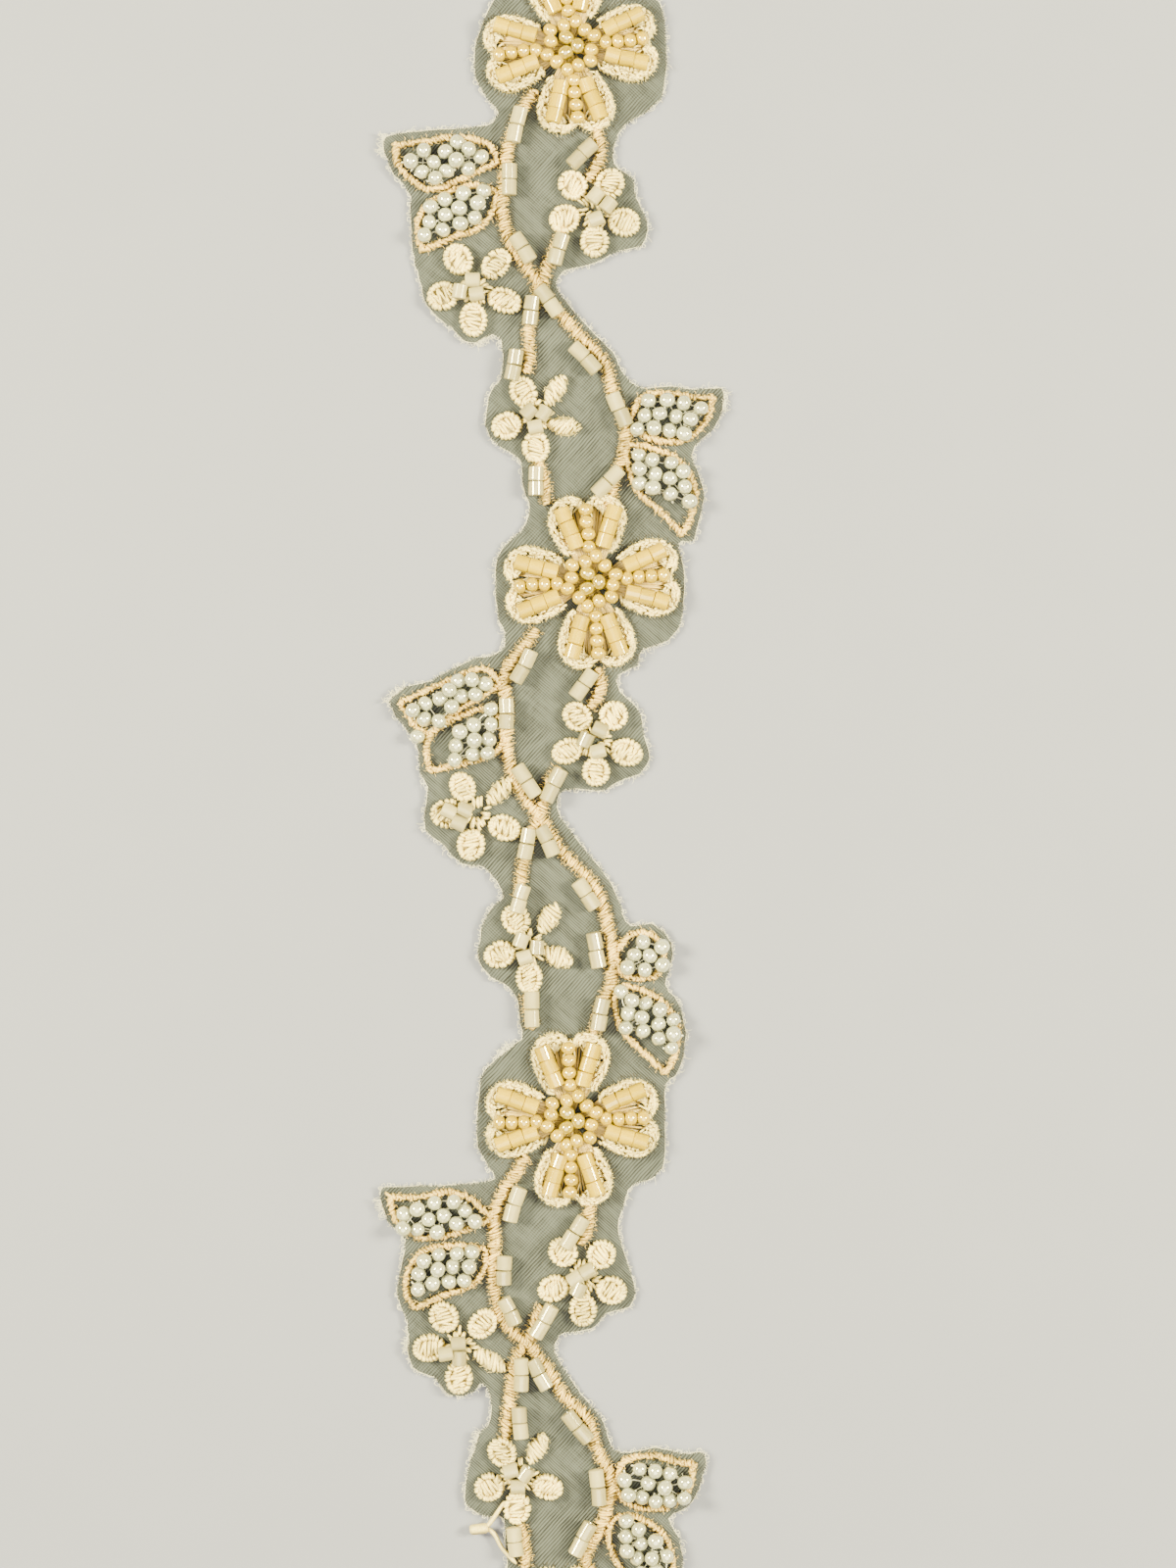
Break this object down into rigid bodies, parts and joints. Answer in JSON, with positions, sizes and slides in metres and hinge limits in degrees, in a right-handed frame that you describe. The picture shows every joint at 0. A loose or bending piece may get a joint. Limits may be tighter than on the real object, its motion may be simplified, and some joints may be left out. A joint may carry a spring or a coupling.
{
  "type": "beaded vine trim",
  "caption": "Cut length of sheer organza trim with crossing satin-stitched vines, pearl-filled leaves, and bead-centred flowers, lying flat.",
  "frame": {"origin": "middle of the flat underside", "axes": "+Y along the trim, +X across it, +Z out of its beaded face"},
  "size_m": [0.0488, 0.257, 0.0046],
  "materials": {
    "organza": "sheer fine weave with a soft sheen",
    "ivory_thread": "satin stitch, soft sheen",
    "peach_thread": "satin stitch, soft sheen",
    "apricot_beads": "lustred glass beads",
    "white_tubes": "satin glass tube beads",
    "pearls": "pearl lustre seed beads"
  },
  "bodies": {
    "root": {"organza_ground": "organza", "flower_satin_1": "ivory_thread", "flower_satin_2": "ivory_thread", "flower_satin_3": "ivory_thread", "flower_satin_4": "ivory_thread", "flower_beads_1": "apricot_beads", "flower_beads_2": "apricot_beads", "flower_beads_3": "apricot_beads", "flower_beads_4": "apricot_beads", "blossom_satin_a1": "ivory_thread", "blossom_satin_b1": "ivory_thread", "blossom_satin_c1": "ivory_thread", "blossom_satin_a2": "ivory_thread", "blossom_satin_b2": "ivory_thread", "blossom_satin_c2": "ivory_thread", "blossom_satin_a3": "ivory_thread", "blossom_satin_b3": "ivory_thread", "blossom_satin_c3": "ivory_thread", "blossom_tubes_a1": "white_tubes", "blossom_tubes_b1": "white_tubes", "blossom_tubes_c1": "white_tubes", "blossom_tubes_a2": "white_tubes", "blossom_tubes_b2": "white_tubes", "blossom_tubes_c2": "white_tubes", "blossom_tubes_a3": "white_tubes", "blossom_tubes_b3": "white_tubes", "blossom_tubes_c3": "white_tubes", "leaf_cord_l1_upper": "peach_thread", "leaf_cord_l1_lower": "peach_thread", "leaf_cord_r1_upper": "peach_thread", "leaf_cord_r1_lower": "peach_thread", "leaf_cord_l2_upper": "peach_thread", "leaf_cord_l2_lower": "peach_thread", "leaf_cord_r2_upper": "peach_thread", "leaf_cord_r2_lower": "peach_thread", "leaf_cord_l3_upper": "peach_thread", "leaf_cord_l3_lower": "peach_thread", "leaf_cord_r3_upper": "peach_thread", "leaf_cord_r3_lower": "peach_thread", "leaf_pearls_l1_upper": "pearls", "leaf_pearls_l1_lower": "pearls", "leaf_pearls_r1_upper": "pearls", "leaf_pearls_r1_lower": "pearls", "leaf_pearls_l2_upper": "pearls", "leaf_pearls_l2_lower": "pearls", "leaf_pearls_r2_upper": "pearls", "leaf_pearls_r2_lower": "pearls", "leaf_pearls_l3_upper": "pearls", "leaf_pearls_l3_lower": "pearls", "leaf_pearls_r3_upper": "pearls", "leaf_pearls_r3_lower": "pearls", "vine_1": "peach_thread", "vine_2": "peach_thread", "vine_3": "peach_thread", "short_cord_a1": "peach_thread", "short_cord_a2": "peach_thread", "short_cord_a3": "peach_thread", "short_cord_c1": "peach_thread", "short_cord_c2": "peach_thread", "short_cord_c3": "peach_thread"}
  },
  "joints": []
}
